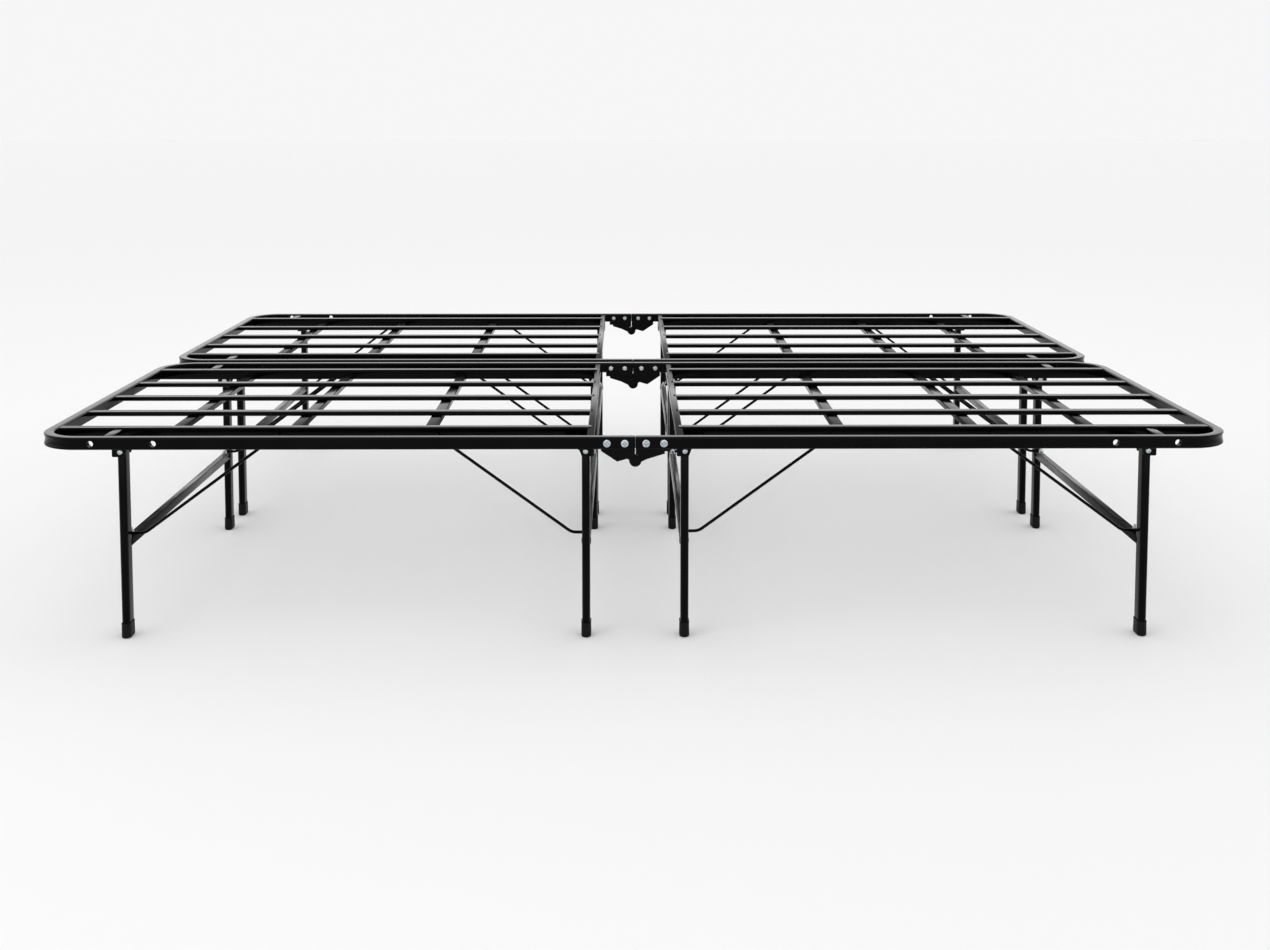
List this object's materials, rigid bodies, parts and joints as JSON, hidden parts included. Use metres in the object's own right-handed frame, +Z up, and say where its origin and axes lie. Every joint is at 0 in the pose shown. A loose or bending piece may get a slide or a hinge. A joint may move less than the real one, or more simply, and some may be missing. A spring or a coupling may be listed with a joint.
{
  "type": "folding platform bed frame",
  "caption": "Black metal platform bed frame of two folding slatted units side by side, with hinged rails, fold-down leg frames and wire braces.",
  "frame": {"origin": "on the floor, below the middle of the bed", "axes": "+X along the bed's length, +Y across its width from the front unit to the rear unit, +Z up"},
  "size_m": [2.032, 1.524, 0.356],
  "materials": {
    "powder_coat": "gloss",
    "hinge_coat": "satin",
    "black_plastic": "matte",
    "zinc": "satin"
  },
  "bodies": {
    "front_left_panel": {"front_left_rail": "powder_coat", "front_left_slat_grid": "powder_coat", "front_near_hinge_fixed_plate": "hinge_coat", "front_near_hinge_pin": "zinc", "front_far_hinge_moving_plate": "hinge_coat"},
    "front_right_panel": {"front_right_rail": "powder_coat", "front_right_slat_grid": "powder_coat", "front_near_hinge_moving_plate": "hinge_coat", "front_far_hinge_fixed_plate": "hinge_coat", "front_far_hinge_pin": "zinc"},
    "rear_left_panel": {"rear_left_rail": "powder_coat", "rear_left_slat_grid": "powder_coat", "rear_near_hinge_fixed_plate": "hinge_coat", "rear_near_hinge_pin": "zinc", "rear_far_hinge_moving_plate": "hinge_coat"},
    "rear_right_panel": {"rear_right_rail": "powder_coat", "rear_right_slat_grid": "powder_coat", "rear_near_hinge_moving_plate": "hinge_coat", "rear_far_hinge_fixed_plate": "hinge_coat", "rear_far_hinge_pin": "zinc"},
    "front_left_end_legs": {"front_left_end_leg_frame": "hinge_coat", "front_left_end_near_foot": "black_plastic", "front_left_end_far_foot": "black_plastic"},
    "front_left_end_wires": {"front_left_end_near_wire": "powder_coat", "front_left_end_far_wire": "powder_coat"},
    "front_left_mid_legs": {"front_left_mid_leg_frame": "hinge_coat", "front_left_mid_near_foot": "black_plastic", "front_left_mid_far_foot": "black_plastic"},
    "front_left_mid_wires": {"front_left_mid_near_wire": "powder_coat", "front_left_mid_far_wire": "powder_coat"},
    "front_right_end_legs": {"front_right_end_leg_frame": "hinge_coat", "front_right_end_near_foot": "black_plastic", "front_right_end_far_foot": "black_plastic"},
    "front_right_end_wires": {"front_right_end_near_wire": "powder_coat", "front_right_end_far_wire": "powder_coat"},
    "front_right_mid_legs": {"front_right_mid_leg_frame": "hinge_coat", "front_right_mid_near_foot": "black_plastic", "front_right_mid_far_foot": "black_plastic"},
    "front_right_mid_wires": {"front_right_mid_near_wire": "powder_coat", "front_right_mid_far_wire": "powder_coat"},
    "rear_left_end_legs": {"rear_left_end_leg_frame": "hinge_coat", "rear_left_end_near_foot": "black_plastic", "rear_left_end_far_foot": "black_plastic"},
    "rear_left_end_wires": {"rear_left_end_near_wire": "powder_coat", "rear_left_end_far_wire": "powder_coat"},
    "rear_left_mid_legs": {"rear_left_mid_leg_frame": "hinge_coat", "rear_left_mid_near_foot": "black_plastic", "rear_left_mid_far_foot": "black_plastic"},
    "rear_left_mid_wires": {"rear_left_mid_near_wire": "powder_coat", "rear_left_mid_far_wire": "powder_coat"},
    "rear_right_end_legs": {"rear_right_end_leg_frame": "hinge_coat", "rear_right_end_near_foot": "black_plastic", "rear_right_end_far_foot": "black_plastic"},
    "rear_right_end_wires": {"rear_right_end_near_wire": "powder_coat", "rear_right_end_far_wire": "powder_coat"},
    "rear_right_mid_legs": {"rear_right_mid_leg_frame": "hinge_coat", "rear_right_mid_near_foot": "black_plastic", "rear_right_mid_far_foot": "black_plastic"},
    "rear_right_mid_wires": {"rear_right_mid_near_wire": "powder_coat", "rear_right_mid_far_wire": "powder_coat"}
  },
  "joints": [
    {"name": "rear_unit_slide", "type": "slide", "parent": "front_left_panel", "child": "rear_left_panel", "axis": [0, 1, 0], "range_m": [0, 0.3]},
    {"name": "front_fold", "type": "hinge", "parent": "front_left_panel", "child": "front_right_panel", "pos_m": [0, -0.387, 0.3115], "axis": [0, 1, 0], "range_deg": [0, 180]},
    {"name": "rear_fold", "type": "hinge", "parent": "rear_left_panel", "child": "rear_right_panel", "pos_m": [0, 0.387, 0.3115], "axis": [0, 1, 0], "range_deg": [0, 180]},
    {"name": "front_left_end_leg_fold", "type": "hinge", "parent": "front_left_panel", "child": "front_left_end_legs", "pos_m": [-0.874, -0.387, 0.326], "axis": [0, -1, 0], "range_deg": [0, 90]},
    {"name": "front_left_end_wire_swing", "type": "hinge", "parent": "front_left_panel", "child": "front_left_end_wires", "pos_m": [-0.618, -0.387, 0.345], "axis": [0, 1, 0], "range_deg": [0, 33.01]},
    {"name": "front_left_mid_leg_fold", "type": "hinge", "parent": "front_left_panel", "child": "front_left_mid_legs", "pos_m": [-0.0845, -0.387, 0.326], "axis": [0, 1, 0], "range_deg": [0, 90]},
    {"name": "front_left_mid_wire_swing", "type": "hinge", "parent": "front_left_panel", "child": "front_left_mid_wires", "pos_m": [-0.3435, -0.387, 0.345], "axis": [0, -1, 0], "range_deg": [0, 32.66]},
    {"name": "front_right_end_leg_fold", "type": "hinge", "parent": "front_right_panel", "child": "front_right_end_legs", "pos_m": [0.874, -0.387, 0.326], "axis": [0, 1, 0], "range_deg": [0, 90]},
    {"name": "front_right_end_wire_swing", "type": "hinge", "parent": "front_right_panel", "child": "front_right_end_wires", "pos_m": [0.618, -0.387, 0.345], "axis": [0, -1, 0], "range_deg": [0, 33.01]},
    {"name": "front_right_mid_leg_fold", "type": "hinge", "parent": "front_right_panel", "child": "front_right_mid_legs", "pos_m": [0.0845, -0.387, 0.326], "axis": [0, -1, 0], "range_deg": [0, 90]},
    {"name": "front_right_mid_wire_swing", "type": "hinge", "parent": "front_right_panel", "child": "front_right_mid_wires", "pos_m": [0.3435, -0.387, 0.345], "axis": [0, 1, 0], "range_deg": [0, 32.66]},
    {"name": "rear_left_end_leg_fold", "type": "hinge", "parent": "rear_left_panel", "child": "rear_left_end_legs", "pos_m": [-0.874, 0.387, 0.326], "axis": [0, -1, 0], "range_deg": [0, 90]},
    {"name": "rear_left_end_wire_swing", "type": "hinge", "parent": "rear_left_panel", "child": "rear_left_end_wires", "pos_m": [-0.618, 0.387, 0.345], "axis": [0, 1, 0], "range_deg": [0, 33.01]},
    {"name": "rear_left_mid_leg_fold", "type": "hinge", "parent": "rear_left_panel", "child": "rear_left_mid_legs", "pos_m": [-0.0845, 0.387, 0.326], "axis": [0, 1, 0], "range_deg": [0, 90]},
    {"name": "rear_left_mid_wire_swing", "type": "hinge", "parent": "rear_left_panel", "child": "rear_left_mid_wires", "pos_m": [-0.3435, 0.387, 0.345], "axis": [0, -1, 0], "range_deg": [0, 32.66]},
    {"name": "rear_right_end_leg_fold", "type": "hinge", "parent": "rear_right_panel", "child": "rear_right_end_legs", "pos_m": [0.874, 0.387, 0.326], "axis": [0, 1, 0], "range_deg": [0, 90]},
    {"name": "rear_right_end_wire_swing", "type": "hinge", "parent": "rear_right_panel", "child": "rear_right_end_wires", "pos_m": [0.618, 0.387, 0.345], "axis": [0, -1, 0], "range_deg": [0, 33.01]},
    {"name": "rear_right_mid_leg_fold", "type": "hinge", "parent": "rear_right_panel", "child": "rear_right_mid_legs", "pos_m": [0.0845, 0.387, 0.326], "axis": [0, -1, 0], "range_deg": [0, 90]},
    {"name": "rear_right_mid_wire_swing", "type": "hinge", "parent": "rear_right_panel", "child": "rear_right_mid_wires", "pos_m": [0.3435, 0.387, 0.345], "axis": [0, 1, 0], "range_deg": [0, 32.66]}
  ],
  "couplings": [
    {"joint": "front_left_end_leg_fold", "follows": "front_fold", "ratio": 0.5},
    {"joint": "front_left_end_wire_swing", "follows": "front_fold", "ratio": 0.1834},
    {"joint": "front_left_mid_leg_fold", "follows": "front_fold", "ratio": 0.5},
    {"joint": "front_left_mid_wire_swing", "follows": "front_fold", "ratio": 0.1814},
    {"joint": "front_right_end_leg_fold", "follows": "front_fold", "ratio": 0.5},
    {"joint": "front_right_end_wire_swing", "follows": "front_fold", "ratio": 0.1834},
    {"joint": "front_right_mid_leg_fold", "follows": "front_fold", "ratio": 0.5},
    {"joint": "front_right_mid_wire_swing", "follows": "front_fold", "ratio": 0.1814},
    {"joint": "rear_left_end_leg_fold", "follows": "rear_fold", "ratio": 0.5},
    {"joint": "rear_left_end_wire_swing", "follows": "rear_fold", "ratio": 0.1834},
    {"joint": "rear_left_mid_leg_fold", "follows": "rear_fold", "ratio": 0.5},
    {"joint": "rear_left_mid_wire_swing", "follows": "rear_fold", "ratio": 0.1814},
    {"joint": "rear_right_end_leg_fold", "follows": "rear_fold", "ratio": 0.5},
    {"joint": "rear_right_end_wire_swing", "follows": "rear_fold", "ratio": 0.1834},
    {"joint": "rear_right_mid_leg_fold", "follows": "rear_fold", "ratio": 0.5},
    {"joint": "rear_right_mid_wire_swing", "follows": "rear_fold", "ratio": 0.1814}
  ]
}
